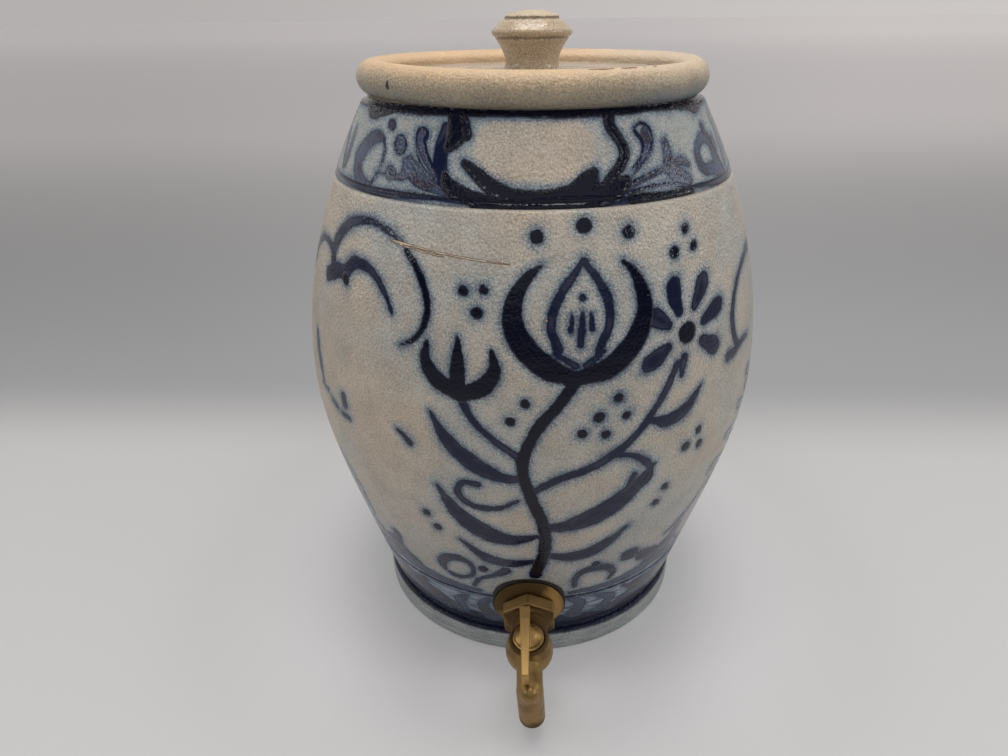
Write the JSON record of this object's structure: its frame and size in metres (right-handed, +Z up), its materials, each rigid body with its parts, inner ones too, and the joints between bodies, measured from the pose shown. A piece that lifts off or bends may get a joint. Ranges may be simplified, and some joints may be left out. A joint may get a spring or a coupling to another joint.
{
  "type": "stoneware water pot with tap",
  "caption": "Salt-glazed stoneware water pot with an inset knobbed lid and a brass ground-key tap low on its wall, for keeping and pouring drinking water.",
  "frame": {"origin": "centre of the foot's underside, on the surface that the pot stands on", "axes": "+Z up along the pot's turning axis, -Y towards the tap, +X to the right of someone who faces the tap"},
  "size_m": [0.2258, 0.2571, 0.3],
  "materials": {
    "salt_glaze": "glossy orange-peel salt glaze on stoneware",
    "lid_glaze": "glossy speckled salt glaze on stoneware",
    "cast_brass": "aged casting, brown in the hollows",
    "key_brass": "filed and handled, brighter on top",
    "turned_brass": "turned, lightly tarnished",
    "black_rubber": "matt"
  },
  "bodies": {
    "pot": {"pot_body": "salt_glaze", "outer_gasket": "black_rubber", "tap_flange": "turned_brass", "tap_body": "cast_brass", "inner_gasket": "black_rubber", "inner_washer": "turned_brass", "lock_nut": "turned_brass"},
    "lid": {"lid": "lid_glaze"},
    "key": {"tap_key": "key_brass", "key_washer": "turned_brass", "key_screw": "turned_brass"}
  },
  "joints": [
    {"name": "lid_lift", "type": "slide", "parent": "pot", "child": "lid", "axis": [0, 0, 1], "range_m": [0, 0.12]},
    {"name": "key_turn", "type": "hinge", "parent": "pot", "child": "key", "pos_m": [0.00038, -0.11747, 0.03575], "axis": [-0.0529, -0.2083, 0.9766], "range_deg": [-90, 90]}
  ]
}
